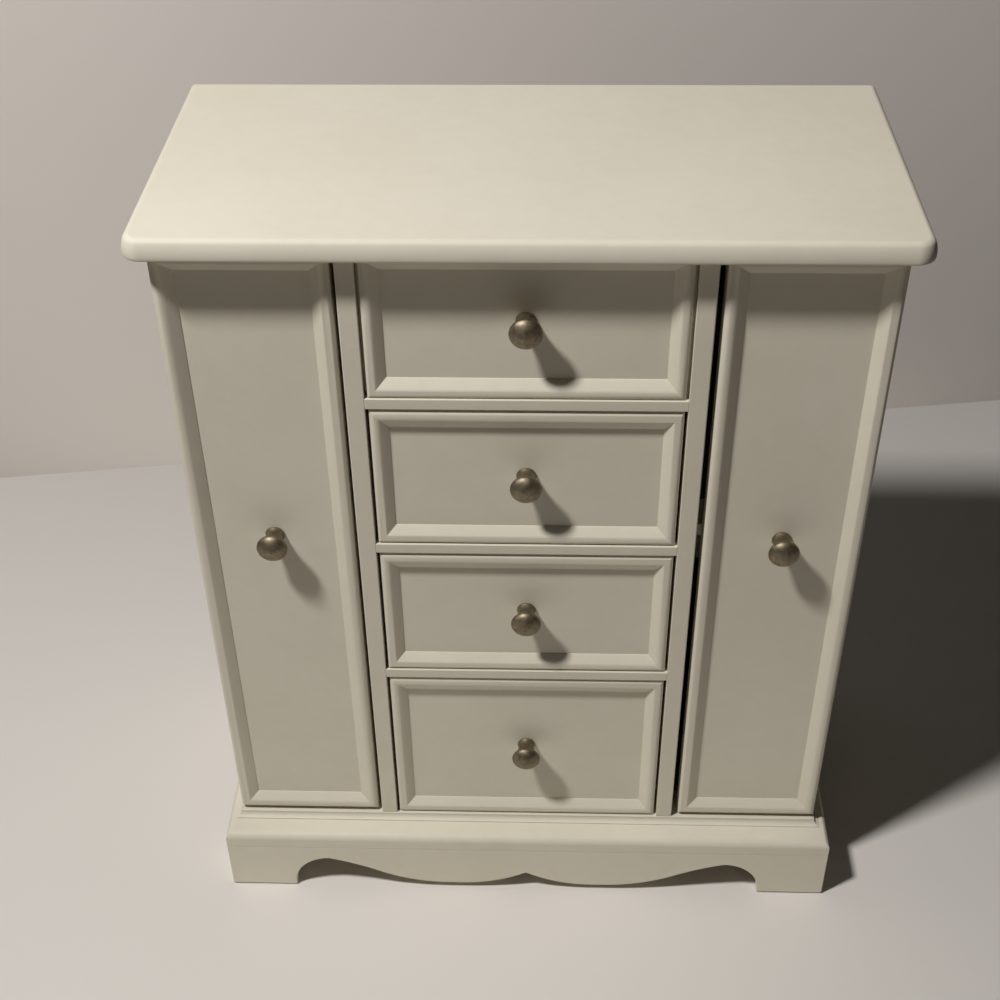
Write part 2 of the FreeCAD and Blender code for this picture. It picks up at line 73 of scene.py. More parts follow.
# The plinth
# Four mitred aprons, a base board and a hollow moulding, all of close-grained wood, filled,
# sanded and sprayed with a warm white satin paint. The paint rounds every sharp edge a little.
class Wire:
    """One value in a finish. Arithmetic on it adds Math nodes."""

    def __init__(self, finish, socket):
        self.finish = finish
        self.socket = socket

    def maths(self, operation, *values):
        return self.finish.node("ShaderNodeMath", {"operation": operation}, dict(enumerate(values)))

    def __add__(self, other):
        return self.maths("ADD", self, other)

    def __radd__(self, other):
        return self.maths("ADD", other, self)

    def __mul__(self, other):
        return self.maths("MULTIPLY", self, other)

    def between(self, low, high):
        """0 below low, 1 above high, and smooth between them."""
        return self.finish.node("ShaderNodeMapRange", {"interpolation_type": "SMOOTHSTEP"},
                                {"Value": self, "From Min": low, "From Max": high})


class Finish:
    """A material that is built up on its one shader."""

    def __init__(self, name, **fixed):
        self.material = bpy.data.materials.new(name)
        self.material.use_nodes = True
        self.tree = self.material.node_tree
        self.shader = self.tree.nodes["Principled BSDF"]
        for socket, value in fixed.items():
            self.shader.inputs[socket.replace("_", " ")].default_value = value

    def node(self, kind, settings=None, sockets=None, output=0):
        """Any node: its settings are set first, then each socket gets a number or a wire."""
        made = self.tree.nodes.new(kind)
        for name, value in (settings or {}).items():
            setattr(made, name, value)
        for key, value in (sockets or {}).items():
            if isinstance(value, Wire):
                self.tree.links.new(value.socket, made.inputs[key])
            else:
                made.inputs[key].default_value = value
        return Wire(self, made.outputs[output])

    def place(self, stretch=(1, 1, 1)):
        """Where a point is on the object, in metres, drawn out along the axes by 1 / stretch."""
        here = self.node("ShaderNodeTexCoord", output="Object")
        return self.node("ShaderNodeMapping", {}, {"Vector": here, "Scale": stretch})

    def grain(self, size, detail=2.0, stretch=(1, 1, 1), roughness=0.5):
        """Soft noise from 0 to 1 whose marks are about as large as size, in metres."""
        return self.node("ShaderNodeTexNoise", {}, {
            "Vector": self.place(stretch), "Scale": 1 / size, "Detail": detail,
            "Roughness": roughness})

    def blend(self, amount, first, second):
        """From the first colour to the second as amount goes from 0 to 1."""
        return self.node("ShaderNodeMix", {"data_type": "RGBA"}, {
            "Factor": amount, 6: first, 7: second}, output=2)

    def colour(self, wire):
        self.tree.links.new(wire.socket, self.shader.inputs["Base Color"])

    def roughness(self, wire):
        self.tree.links.new(wire.socket, self.shader.inputs["Roughness"])

    def relief(self, height, depth):
        """Raises the surface by height, from 0 to 1, times depth in metres."""
        bump = self.node("ShaderNodeBump", {}, {
            "Height": height, "Distance": depth, "Strength": 1.0})
        self.tree.links.new(bump.socket, self.shader.inputs["Normal"])


def cream_paint():
    finish = Finish("warm_white_satin_paint", IOR=1.48, Specular_IOR_Level=0.35)
    cloud = finish.grain(60 * mm, detail=3)
    fleck = finish.grain(7 * mm, detail=4, roughness=0.65)
    peel = finish.grain(1.1 * mm, detail=1.5)
    swell = finish.grain(9 * mm, detail=1)
    tone = (cloud * 0.6 + fleck * 0.4).between(0.3, 0.7)
    finish.colour(finish.blend(tone, (0.708, 0.660, 0.545, 1), (0.750, 0.704, 0.592, 1)))
    finish.roughness(0.50 + cloud * 0.10 + fleck * 0.06)
    finish.relief(peel * 0.35 + swell * 0.65, 0.035 * mm)
    return finish.material


paint = cream_paint()


def body_of(node):
    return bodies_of(frame["nodes"][node])[0]


def eased(node, edge, finish, boards=1):
    """A copy of a CAD node with its sharp edges rounded off by edge, in metres.

    Boards that touch, all with the same number of faces, are merged one by one, so none is
    welded to the next and each gets its own rounded edges.
    """
    whole = bmesh.new()
    boards_in_place = bmesh.new()
    whole.from_mesh(frame["nodes"][node].data)
    faces_of_a_board = len(whole.faces) // boards
    for board in range(boards):
        shape = whole.copy()
        others = [face for index, face in enumerate(shape.faces)
                  if index // faces_of_a_board != board]
        bmesh.ops.delete(shape, geom=others, context="FACES")
        bmesh.ops.remove_doubles(shape, verts=shape.verts, dist=0.002 * mm)
        bmesh.ops.dissolve_limit(shape, angle_limit=math.radians(0.3), verts=shape.verts,
                                 edges=shape.edges)
        made = bpy.data.meshes.new("board")
        shape.to_mesh(made)
        shape.free()
        boards_in_place.from_mesh(made)
    mesh = bpy.data.meshes.new(node + "_finished")
    boards_in_place.to_mesh(mesh)
    boards_in_place.free()
    whole.free()
    mesh.polygons.foreach_set("use_smooth", [True] * len(mesh.polygons))
    mesh.materials.clear()
    mesh.materials.append(finish)
    piece = bpy.data.objects.new(node + "_finished", mesh)
    bpy.context.scene.collection.objects.link(piece)
    bevel = piece.modifiers.new("edges", "BEVEL")
    bevel.width = edge
    bevel.segments = 2
    bevel.limit_method = "ANGLE"
    bevel.angle_limit = math.radians(40)
    bevel.miter_outer = "MITER_ARC"
    normals = piece.modifiers.new("normals", "WEIGHTED_NORMAL")
    normals.keep_sharp = True
    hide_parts(node)
    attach(piece, body_of(node))
    return piece


for node in ("front_apron", "side_aprons", "rear_apron", "base_board"):
    eased(node, 0.35 * mm, paint)


def refinish(node, finish):
    """A CAD node whose shape is right gets its finish."""
    for place in frame["nodes"][node].material_slots:
        place.material = finish


refinish("base_cove", paint)


# Blocks and pads under the plinth
# Softwood blocks glued into the corners, sawn and left bare, with self-adhesive felt discs.
def bare_wood():
    finish = Finish("bare_softwood")
    rings = finish.grain(5 * mm, detail=4, stretch=(1, 1, 0.12), roughness=0.6)
    pores = finish.grain(0.7 * mm, detail=2, stretch=(1, 1, 0.08))
    finish.colour(finish.blend(
        rings.between(0.35, 0.65), (0.62, 0.43, 0.24, 1), (0.48, 0.30, 0.15, 1)))
    finish.roughness(0.62 + pores * 0.2)
    finish.relief(rings * 0.5 + pores * 0.5, 0.12 * mm)
    return finish.material


def pressed_felt():
    finish = Finish("pressed_felt", Sheen_Weight=0.3, Sheen_Roughness=0.6)
    fibre = finish.grain(0.5 * mm, detail=5, roughness=0.75)
    finish.colour(finish.blend(fibre, (0.20, 0.16, 0.12, 1), (0.38, 0.32, 0.25, 1)))
    finish.roughness(0.85 + fibre * 0.12)
    finish.relief(fibre, 0.25 * mm)
    return finish.material


eased("corner_blocks", 0.4 * mm, bare_wood())
refinish("felt_pads", pressed_felt())


# The carcass
# Sides, partitions, shelves and back, glued edge to face and painted with the plinth. The front
# edges of the partitions and shelves are the stiles and rails between the doors and drawers.
for node in ("cabinet_floor", "left_side_panel", "right_side_panel", "left_partition",
             "right_partition", "upper_divider", "middle_divider", "lower_divider", "back_panel",
             "top_caps", "false_front_panel"):
    eased(node, 0.3 * mm, paint)


# Mouldings
# Each front has four lengths of moulding glued and mitred round its edge: a rounded outer edge, a low crown
# and a fall to the panel. On the drawers and the false front the top length is a little wider than the other
# three.
def moulding(node, width, top_width, lip):
    """A mitred frame in place of a CAD one. lip is how far it laps over the gap under it."""
    low, high = [Vector(corner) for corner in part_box(node)]
    panel_face = high.y
    flank = 2.3 * mm
    crown = 3.4 * mm
    shoulder_share = 0.13
    crown_share = 0.42
    profile = ((0, flank), (shoulder_share, crown - 0.2 * mm), (crown_share, crown),
               (1, 0.25 * mm), (1, 0))
    frame_shape = bmesh.new()
    bmesh.ops.create_circle(frame_shape, segments=4, radius=1,
                            matrix=Matrix.Rotation(math.radians(45), 4, "Z"))

    def station(verts, share, height):
        for vert in verts:
            on_right = vert.co.x > (low.x + high.x) / 2
            on_top = vert.co.z > (low.z + high.z) / 2
            vert.co.x = high.x - share * width if on_right else low.x + share * width
            vert.co.z = high.z - share * top_width if on_top else low.z - lip + share * (width + lip)
            vert.co.y = panel_face - height

    for vert in frame_shape.verts:
        vert.co = Vector((
            (low.x + high.x) / 2 + vert.co.x, panel_face, (low.z + high.z) / 2 + vert.co.y))
    station(frame_shape.verts, 0, 0)
    loop = list(frame_shape.edges)
    first = list(loop)
    rounded = []
    for share, height in profile:
        grown = bmesh.ops.extrude_edge_only(frame_shape, edges=loop)["geom"]
        station([item for item in grown if isinstance(item, bmesh.types.BMVert)], share, height)
        loop = [item for item in grown if isinstance(item, bmesh.types.BMEdge)
                and all(vert in grown for vert in item.verts)]
        if share in (shoulder_share, crown_share):
            rounded.append((share, list(loop)))
    bmesh.ops.bridge_loops(frame_shape, edges=first + loop)
    bmesh.ops.recalc_face_normals(frame_shape, faces=frame_shape.faces)
    for share, edges in rounded:
        radius = 0.8 * mm if share == shoulder_share else 1.4 * mm
        sound = [edge for edge in edges if edge.is_valid]
        bmesh.ops.bevel(frame_shape, geom=sound, offset=radius,
                        offset_type="OFFSET", segments=6, profile=0.5, material=-1, affect="EDGES",
                        clamp_overlap=True)
    for edge in frame_shape.edges:
        edge.smooth = edge.calc_face_angle(0) < math.radians(26)
    mesh = bpy.data.meshes.new(node + "_lengths")
    frame_shape.to_mesh(mesh)
    frame_shape.free()
    mesh.polygons.foreach_set("use_smooth", [True] * len(mesh.polygons))
    mesh.materials.append(paint)
    piece = bpy.data.objects.new(node + "_lengths", mesh)
    bpy.context.scene.collection.objects.link(piece)
    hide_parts(node)
    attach(piece, body_of(node))


moulding("false_front_moulding", 6.9 * mm, 7.6 * mm, 0.4 * mm)


# Linings
# Short-pile velvet glued to thin card, pressed into the well, the bays and the drawers.
def velvet():
    finish = Finish("short_pile_velvet", Sheen_Weight=0.6, Sheen_Roughness=0.35)
    nap = finish.grain(14 * mm, detail=3, roughness=0.6)
    pile = finish.grain(0.45 * mm, detail=3, roughness=0.7)
    finish.colour(finish.blend(nap.between(0.3, 0.7), (0.47, 0.38, 0.27, 1), (0.58, 0.49, 0.37, 1)))
    finish.roughness(0.80 + pile * 0.15)
    finish.relief(pile * 0.7 + nap * 0.3, 0.22 * mm)
    return finish.material


lining_velvet = velvet()
refinish("well_lining", lining_velvet)
for node in ("bay_linings", "upper_drawer_lining", "middle_drawer_lining", "lower_drawer_lining"):
    eased(node, 0.35 * mm, lining_velvet)


# The ring cushion
# Foam rods wrapped in one piece of velvet and glued side by side into the front of the well.
# Rings stand in the slits between them, so the rolls press together and swell a little above.
cushion_low, cushion_high = [Vector(corner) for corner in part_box("ring_cushion")]
roll_count = 5
roll_gap = 0.25 * mm
roll_width = (cushion_high.y - cushion_low.y) / roll_count
roll_size = Vector((cushion_high.x - cushion_low.x, roll_width - roll_gap, cushion_high.z - cushion_low.z))


def pull_in(place, middle, half):
    """Draws a roll's ends and top corners in, and lets its velvet ripple a little."""
    across = (place.x - middle.x) / half.x
    around = (place.y - middle.y) / half.y
    above = max(0.0, (place.z - middle.z) / half.z)
    waist = 1 - 0.05 * above ** 2 - 0.025 * abs(across) ** 12
    slump = 0.9 * mm * abs(across) ** 6 * above
    ripple = noise.noise(Vector((place.x / (11 * mm), middle.y / (3 * mm), place.z / (16 * mm))))
    tuck = noise.noise(Vector((place.x / (2.6 * mm), middle.y / (2 * mm), 4.0))) * abs(across) ** 14
    place.y = middle.y + around * half.y * waist + 0.22 * mm * ripple * above
    place.z -= slump + (0.35 * abs(ripple) + 0.5 * abs(tuck)) * mm * above
    place.x -= math.copysign(0.5 * mm * around ** 2 * abs(across) ** 8, across)


rolls = bmesh.new()
for index in range(roll_count):
    middle = Vector((
        (cushion_low.x + cushion_high.x) / 2,
        cushion_low.y + (index + 0.5) * roll_width,
        (cushion_low.z + cushion_high.z) / 2))
    roll = bmesh.new()
    bmesh.ops.create_cube(roll, size=1, matrix=Matrix.Translation(middle) @ Matrix.Diagonal((*roll_size, 1)))
    raised = [edge for edge in roll.edges
              if max(vert.co.z for vert in edge.verts) > middle.z and edge.calc_length() > roll_width / 2]
    bmesh.ops.bevel(roll, geom=raised, offset=roll_size.y * 0.46, offset_type="OFFSET", segments=4,
                    profile=0.5, material=-1, affect="EDGES", clamp_overlap=True)
    ribs = 44
    for rib in range(1, ribs):
        bmesh.ops.bisect_plane(
            roll, geom=roll.verts[:] + roll.edges[:] + roll.faces[:],
            plane_co=(cushion_low.x + rib * roll_size.x / ribs, 0, 0), plane_no=(1, 0, 0), dist=0.01 * mm)
    for course in range(1, 6):
        bmesh.ops.bisect_plane(
            roll, geom=roll.verts[:] + roll.edges[:] + roll.faces[:],
            plane_co=(0, 0, cushion_low.z + course * 4 * mm), plane_no=(0, 0, 1), dist=0.01 * mm)
    bmesh.ops.remove_doubles(roll, verts=roll.verts, dist=0.02 * mm)
    for vert in roll.verts:
        pull_in(vert.co, middle, roll_size / 2)
    bmesh.ops.recalc_face_normals(roll, faces=roll.faces)
    made = bpy.data.meshes.new("roll")
    roll.to_mesh(made)
    roll.free()
    rolls.from_mesh(made)
cushion_mesh = bpy.data.meshes.new("ring_cushion_rolls")
rolls.to_mesh(cushion_mesh)
rolls.free()
cushion_mesh.polygons.foreach_set("use_smooth", [True] * len(cushion_mesh.polygons))
cushion_mesh.materials.append(lining_velvet)
cushion = bpy.data.objects.new("ring_cushion_rolls", cushion_mesh)
bpy.context.scene.collection.objects.link(cushion)
plump = cushion.modifiers.new("plump", "SUBSURF")
plump.levels = 1
plump.render_levels = 1
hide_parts("ring_cushion")
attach(cushion, "cabinet")


# Stops and magnets for the doors
# A small block is glued to each partition behind the door's free edge. Its paint is darkened to a
# brown-black as painted shade, so the gap between door and partition reads as shadow. A round magnet is
# pressed into its face and meets a thin steel disc on the door's back.
def stop_shade_paint():
    finish = Finish("stop_paint_as_painted_shade", IOR=1.48, Specular_IOR_Level=0.3)
    shade_mottle = finish.grain(5 * mm, detail=4, roughness=0.6)
    # painted shade: the stop is coloured dark brown so it reads as the shadow in the gap behind the door
    finish.colour(finish.blend(shade_mottle.between(0.3, 0.7), (0.15, 0.12, 0.085, 1), (0.24, 0.20, 0.15, 1)))
    finish.roughness(0.6 + shade_mottle * 0.15)
    return finish.material


eased("door_stops", 0.3 * mm, stop_shade_paint())


def nickel():
    finish = Finish("nickel_plate", Metallic=1.0)
    scuff = finish.grain(1.5 * mm, detail=4, roughness=0.7)
    finish.colour(finish.blend(scuff, (0.26, 0.25, 0.23, 1), (0.36, 0.35, 0.33, 1)))
    finish.roughness(0.38 + scuff * 0.2)
    return finish.material


plated = nickel()
refinish("door_magnets", plated)
magnet_low, magnet_high = [Vector(corner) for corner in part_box("door_magnets")]
magnet_radius = (magnet_high.z - magnet_low.z) / 2
magnet_height = (magnet_high.z + magnet_low.z) / 2
strike_radius = 2.9 * mm
strike_thickness = 0.3 * mm


def show(shape, name, finish, body):
    """Turns a finished bmesh into a piece that rides on a body."""
    mesh = bpy.data.meshes.new(name)
    shape.to_mesh(mesh)
    shape.free()
    mesh.materials.append(finish)
    piece = bpy.data.objects.new(name, mesh)
    bpy.context.scene.collection.objects.link(piece)
    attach(piece, body)
    return piece


for side, body in ((-1, "left_door"), (1, "right_door")):
    door_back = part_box(body + "_panel")[1][1]
    turned_back = Matrix.Rotation(math.radians(-90), 4, "X")
    strike = bmesh.new()
    bmesh.ops.create_cone(strike, cap_ends=True, segments=40, radius1=strike_radius,
                          radius2=strike_radius, depth=strike_thickness)
    rims = [edge for edge in strike.edges if min(vert.co.z for vert in edge.verts) > 0]
    bmesh.ops.bevel(strike, geom=rims, offset=0.1 * mm, offset_type="OFFSET", segments=2, profile=0.5,
                    material=-1, affect="EDGES")
    strike_place = Vector((side * (magnet_high.x - magnet_radius), door_back + strike_thickness / 2,
                           magnet_height))
    strike.transform(Matrix.Translation(strike_place) @ turned_back)
    show(strike, body + "_strike_disc", plated, body)


# Hinges
# Small brass butt hinges, let in flush, with their leaves held by slotted brass screws. Three
# brass cup hooks are screwed in a row inside each door for necklaces.
def brass_plate():
    finish = Finish("lacquered_brass", Metallic=1.0)
    tarnish = finish.grain(2.5 * mm, detail=4, roughness=0.7)
    finish.colour(finish.blend(tarnish.between(0.35, 0.75), (0.74, 0.60, 0.36, 1), (0.52, 0.39, 0.21, 1)))
    finish.roughness(0.2 + tarnish * 0.25)
    finish.relief(tarnish, 0.02 * mm)
    return finish.material


brass = brass_plate()
for node in ("lid_hinge_fixed_leaves", "lid_hinge_moving_leaves", "door_hinge_fixed_leaves",
             "left_door_hinge_leaves", "right_door_hinge_leaves", "hinge_pins",
             "left_door_hooks", "right_door_hooks"):
    refinish(node, brass)


def screw_head(place, outward, radius, turn, proud=0.06 * mm):
    """A slotted screw's head with a low dome. It stands proud of the surface at place."""
    head = bmesh.new()
    bmesh.ops.create_circle(head, cap_ends=True, segments=32, radius=radius)
    half_slot = radius * 0.15
    for edge_side in (-1, 1):
        bmesh.ops.bisect_plane(head, geom=head.verts[:] + head.edges[:] + head.faces[:],
                               plane_co=(0, edge_side * half_slot, 0), plane_no=(0, 1, 0), dist=1e-7)
    rim = [edge for edge in head.edges if edge.is_boundary]
    skirt = bmesh.ops.extrude_edge_only(head, edges=rim)["geom"]
    for vert in [item for item in skirt if isinstance(item, bmesh.types.BMVert)]:
        vert.co.z -= proud + 0.25 * mm
    bmesh.ops.holes_fill(head, edges=[edge for edge in head.edges if edge.is_boundary])
    head.normal_update()
    floor_of_slot = [face for face in head.faces
                     if abs(face.normal.z) > 0.9 and abs(face.calc_center_median().y) < half_slot / 2
                     and face.calc_center_median().z > -0.01 * mm]
    sunk = bmesh.ops.extrude_face_region(head, geom=floor_of_slot)["geom"]
    bmesh.ops.delete(head, geom=[face for face in floor_of_slot if face.is_valid], context="FACES_ONLY")
    for vert in [item for item in sunk if isinstance(item, bmesh.types.BMVert)]:
        vert.co.z -= 0.22 * mm
    bmesh.ops.recalc_face_normals(head, faces=head.faces)
    facing = outward.to_track_quat("Z", "Y").to_matrix().to_4x4()
    head.transform(Matrix.Translation(place + outward * proud) @ facing
                   @ Matrix.Rotation(math.radians(turn), 4, "Z"))
    made = bpy.data.meshes.new("head")
    head.to_mesh(made)
    head.free()
    return made


def screws(name, places, outward, radius, body):
    """A set of like screws on one body, each turned as far as it happened to tighten."""
    group = bmesh.new()
    for index, place in enumerate(places):
        group.from_mesh(screw_head(place, outward, radius, 37 + 71 * index))
    return show(group, name, brass, body)


lid_leaf_high = Vector(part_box("lid_hinge_fixed_leaves")[1])
lid_leaf_length = 18 * mm
lid_screw_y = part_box("back_panel")[1][1] - 2.9 * mm
lid_screw_places = [
    Vector((side * (lid_leaf_high.x - lid_leaf_length / 2) + step * 5 * mm, lid_screw_y, 0))
    for side in (-1, 1) for step in (-1, 1)]
carcass_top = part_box("back_panel")[1][2]
lid_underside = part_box("lid_board")[0][2]
screws("lid_hinge_fixed_screws", [place + Vector((0, 0, carcass_top)) for place in lid_screw_places],
       Vector((0, 0, 1)), 1.5 * mm, "cabinet")
screws("lid_hinge_moving_screws", [place + Vector((0, 0, lid_underside)) for place in lid_screw_places],
       Vector((0, 0, -1)), 1.5 * mm, "lid")
side_high = Vector(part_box("right_side_panel")[1])
carcass_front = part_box("right_side_panel")[0][1]
hinge_heights = (72 * mm, 292 * mm)
door_screw_places = [Vector((side_high.x - 3.2 * mm, 0, height + step * 4.6 * mm))
                     for height in hinge_heights for step in (-1, 1)]
mirrored = Matrix.Diagonal((-1, 1, 1))
screws("door_hinge_fixed_screws",
       [turn @ place + Vector((0, carcass_front, 0)) for turn in (Matrix.Identity(3), mirrored)
        for place in door_screw_places], Vector((0, -1, 0)), 1.2 * mm, "cabinet")
for turn, body in ((mirrored, "left_door"), (Matrix.Identity(3), "right_door")):
    back = Vector((0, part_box(body + "_panel")[1][1], 0))
    screws(body + "_hinge_screws", [turn @ place + back for place in door_screw_places],
           Vector((0, 1, 0)), 1.2 * mm, body)


# The lid
# A flat board whose front and ends are bowed a little, painted like the carcass. A mirror is let
# into its underside and held by four thin mitred slips.
lid_low, lid_high = [Vector(corner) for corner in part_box("lid_board")]
lid_corner = 7.2 * mm
nose_bulge = 11.5 * mm
nose_height = 1.8 * mm
arris = 1.0 * mm
top_arris = 1.4 * mm
lid_thickness = lid_high.z - lid_low.z


def nose_inset(height):
    """How far the lid's edge lies back from its foremost line, at a height over its underside."""
    inset = nose_bulge - math.sqrt(nose_bulge ** 2 - (height - nose_height) ** 2)
    top_start = lid_thickness - top_arris
    for radius, near_corner in ((arris, arris - height), (top_arris, height - top_start)):
        if near_corner > 0:
            inset += radius - math.sqrt(max(0.0, radius ** 2 - near_corner ** 2))
    return inset


def cut_across(shape, where, normal, only):
    """Cuts the faces that pass a test along a plane."""
    faces = [face for face in shape.faces if only(face)]
    edges = list({edge for face in faces for edge in face.edges})
    verts = list({vert for face in faces for vert in face.verts})
    bmesh.ops.bisect_plane(shape, geom=verts + edges + faces, plane_co=where, plane_no=normal,
                           dist=1e-7)


def sink(shape, low, high, depth):
    """A pocket in the lid's underside between two corners."""
    def under(face):
        return face.normal.z < -0.99 and abs(face.calc_center_median().z - lid_low.z) < 0.01 * mm

    for edge_of_pocket in (low, high):
        for axis in (0, 1):
            normal = Vector((1 - axis, axis, 0))
            inside_lid = lid_low[axis] + arris < edge_of_pocket[axis] < lid_high[axis] - 0.1 * mm
            if inside_lid:
                cut_across(shape, edge_of_pocket, normal, under)
    pocket = [face for face in shape.faces if under(face)
              and low.x < face.calc_center_median().x < high.x
              and low.y < face.calc_center_median().y < high.y]
    raised = bmesh.ops.extrude_face_region(shape, geom=pocket)["geom"]
    bmesh.ops.delete(shape, geom=[face for face in pocket if face.is_valid], context="FACES_ONLY")
    for vert in [item for item in raised if isinstance(item, bmesh.types.BMVert)]:
        vert.co.z += depth


lid_shape = bmesh.new()
bmesh.ops.create_cube(lid_shape, size=1, matrix=Matrix.Translation((lid_low + lid_high) / 2)
                      @ Matrix.Diagonal((*(lid_high - lid_low), 1)))
front_corners = [edge for edge in lid_shape.edges
                 if abs(edge.verts[0].co.z - edge.verts[1].co.z) > arris
                 and edge.verts[0].co.y < (lid_low.y + lid_high.y) / 2]
bmesh.ops.bevel(lid_shape, geom=front_corners, offset=lid_corner, offset_type="OFFSET", segments=10,
                profile=0.5, material=-1, affect="EDGES")
for height in (0.13, 0.5, 1.0, 1.9, 2.7, 3.6, 4.4, 5.0, 5.5, 6.0, 6.5, 6.9, 7.3, 7.6, 7.8, 7.95):
    bmesh.ops.bisect_plane(
        lid_shape, geom=lid_shape.verts[:] + lid_shape.edges[:] + lid_shape.faces[:],
        plane_co=(0, 0, lid_low.z + height * mm), plane_no=(0, 0, 1), dist=1e-7)
corner_middle = Vector((lid_high.x - lid_corner, lid_low.y + lid_corner))
for vert in lid_shape.verts:
    across = max(0.0, abs(vert.co.x) - corner_middle.x)
    before = max(0.0, corner_middle.y - vert.co.y)
    outward = Vector((across, before))
    if outward.length > 0.5 * lid_corner:
        outward.normalize()
        inset = nose_inset(vert.co.z - lid_low.z)
        vert.co.x -= math.copysign(outward.x * inset, vert.co.x)
        vert.co.y += outward.y * inset
glass_low, glass_high = [Vector(corner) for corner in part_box("mirror_glass")]
sink(lid_shape, glass_low, glass_high, glass_high.z - glass_low.z)
moving_low, moving_high = [Vector(corner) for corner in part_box("lid_hinge_moving_leaves")]
for side in (-1, 1):
    middle = side * (moving_high.x - lid_leaf_length / 2)
    sink(lid_shape, Vector((middle - lid_leaf_length / 2, moving_low.y, 0)),
         Vector((middle + lid_leaf_length / 2, lid_high.y, 0)), 0.8 * mm)
for edge in lid_shape.edges:
    edge.smooth = edge.calc_face_angle(0) < math.radians(32)
lid_piece = show(lid_shape, "lid_board_shaped", paint, "lid")
lid_piece.data.polygons.foreach_set("use_smooth", [True] * len(lid_piece.data.polygons))
lid_normals = lid_piece.modifiers.new("normals", "WEIGHTED_NORMAL")
lid_normals.keep_sharp = True
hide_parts("lid_board")
eased("mirror_frame", 0.3 * mm, paint, boards=4)


def silvered_glass():
    finish = Finish("silvered_glass", Metallic=1.0)
    haze = finish.grain(20 * mm, detail=3)
    finish.colour(finish.blend(haze, (0.86, 0.87, 0.87, 1), (0.91, 0.92, 0.92, 1)))
    finish.roughness(0.015 + haze * 0.03)
    return finish.material


refinish("mirror_glass", silvered_glass())


# Drawers
# Each has a painted front with a mitred moulding glued round its edge, two sides and a back
# butted to the front, and a thin bottom.
for name in ("upper_drawer", "middle_drawer", "lower_drawer"):
    eased(name + "_front", 0.3 * mm, paint)
    eased(name + "_walls", 0.5 * mm, paint, boards=3)
    eased(name + "_bottom", 0.3 * mm, paint)
    moulding(name + "_moulding", 6.9 * mm, 9.1 * mm, 0.25 * mm)


# Doors
# Narrow painted boards with the same moulding round the edge. The knob's screw comes through from
# the back.
for name in ("left_door", "right_door"):
    eased(name + "_panel", 0.3 * mm, paint)
    moulding(name + "_moulding", 7.6 * mm, 7.6 * mm, 0)
    knob_low, knob_high = [Vector(corner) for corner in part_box(name + "_knob")]
    knob_middle = (knob_low + knob_high) / 2
    back_of_knob = Vector((knob_middle.x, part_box(name + "_panel")[1][1], knob_middle.z))
    knob_screw = bmesh.new()
    knob_screw.from_mesh(screw_head(back_of_knob, Vector((0, 1, 0)), 2.8 * mm, 24, 0.25 * mm))
    show(knob_screw, name + "_knob_screw", plated, name)


# Knobs
# Turned and plated to look like old pewter, brushed, with a mottled patina.
def pewter():
    finish = Finish("antique_pewter", Metallic=1.0)
    patina = finish.grain(2.2 * mm, detail=4, roughness=0.65)
    brush = finish.grain(0.5 * mm, detail=3, stretch=(1, 0.1, 1))
    finish.colour(finish.blend(patina.between(0.3, 0.7), (0.185, 0.153, 0.100, 1), (0.300, 0.255, 0.175, 1)))
    finish.roughness(0.42 + patina * 0.12 + brush * 0.08)
    finish.relief(brush, 0.01 * mm)
    return finish.material


knob_metal = pewter()
# Height over the panel and radius, in millimetres, from the foot round the rim to the dome's middle.
knob_profile = (
    (0, 0), (0, 3.8), (0.5, 3.9), (1.1, 3.6), (2.2, 3.4), (3.6, 3.45), (5.0, 3.8), (6.2, 4.45), (7.2, 5.2),
    (7.9, 5.75), (8.4, 6.03), (8.9, 6.1), (9.5, 5.93), (10.3, 5.35), (11.1, 4.35), (11.8, 3.0), (12.25, 1.5),
    (12.4, 0))


def turned_knob(node):
    """A knob on a flared neck, with a domed face, spun from one profile."""
    low, high = [Vector(corner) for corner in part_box(node)]
    middle = (low + high) / 2
    knob = bmesh.new()
    line = [knob.verts.new((middle.x + radius * mm, high.y - height * mm, middle.z))
            for height, radius in knob_profile]
    edges = [knob.edges.new(pair) for pair in zip(line, line[1:])]
    bmesh.ops.spin(knob, geom=line + edges, cent=(middle.x, 0, middle.z), axis=(0, 1, 0),
                   dvec=(0, 0, 0), angle=math.tau, steps=48, use_merge=True)
    bmesh.ops.remove_doubles(knob, verts=knob.verts, dist=0.005 * mm)
    bmesh.ops.recalc_face_normals(knob, faces=knob.faces)
    for face in knob.faces:
        face.smooth = True
    piece = show(knob, node + "_turned", knob_metal, body_of(node))
    rounding = piece.modifiers.new("rounding", "SUBSURF")
    rounding.levels = 1
    rounding.render_levels = 1
    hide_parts(node)


for name in ("false_front", "upper_drawer", "middle_drawer", "lower_drawer", "left_door", "right_door"):
    turned_knob(name + "_knob")


# The studio
# A plain pale floor and a plain wall, one soft lamp above and to the left of the front, and a dim
# surround. The floor throws less light back from far away, and the wall can be seen through from
# behind, so that it hides nothing in the other views.
def floor_finish():
    finish = Finish("pale_floor", Roughness=0.7)
    finish.shader.inputs["Specular IOR Level"].default_value = 0.25
    cloud = finish.grain(0.2, detail=2)
    seen = finish.blend(cloud, (0.78, 0.74, 0.70, 1), (0.81, 0.77, 0.73, 1))
    where = finish.node("ShaderNodeTexCoord", output="Object")
    distance = finish.node("ShaderNodeVectorMath", {"operation": "LENGTH"}, {0: where}, output=1)
    thrown = finish.blend(distance.between(0.28, 0.50), (0.97, 0.93, 0.86, 1), (0.30, 0.28, 0.25, 1))
    direct = finish.node("ShaderNodeLightPath", output=0)
    gloss = finish.node("ShaderNodeLightPath", output=3)
    finish.colour(finish.blend(direct.maths("MAXIMUM", direct, gloss), thrown, seen))
    return finish.material


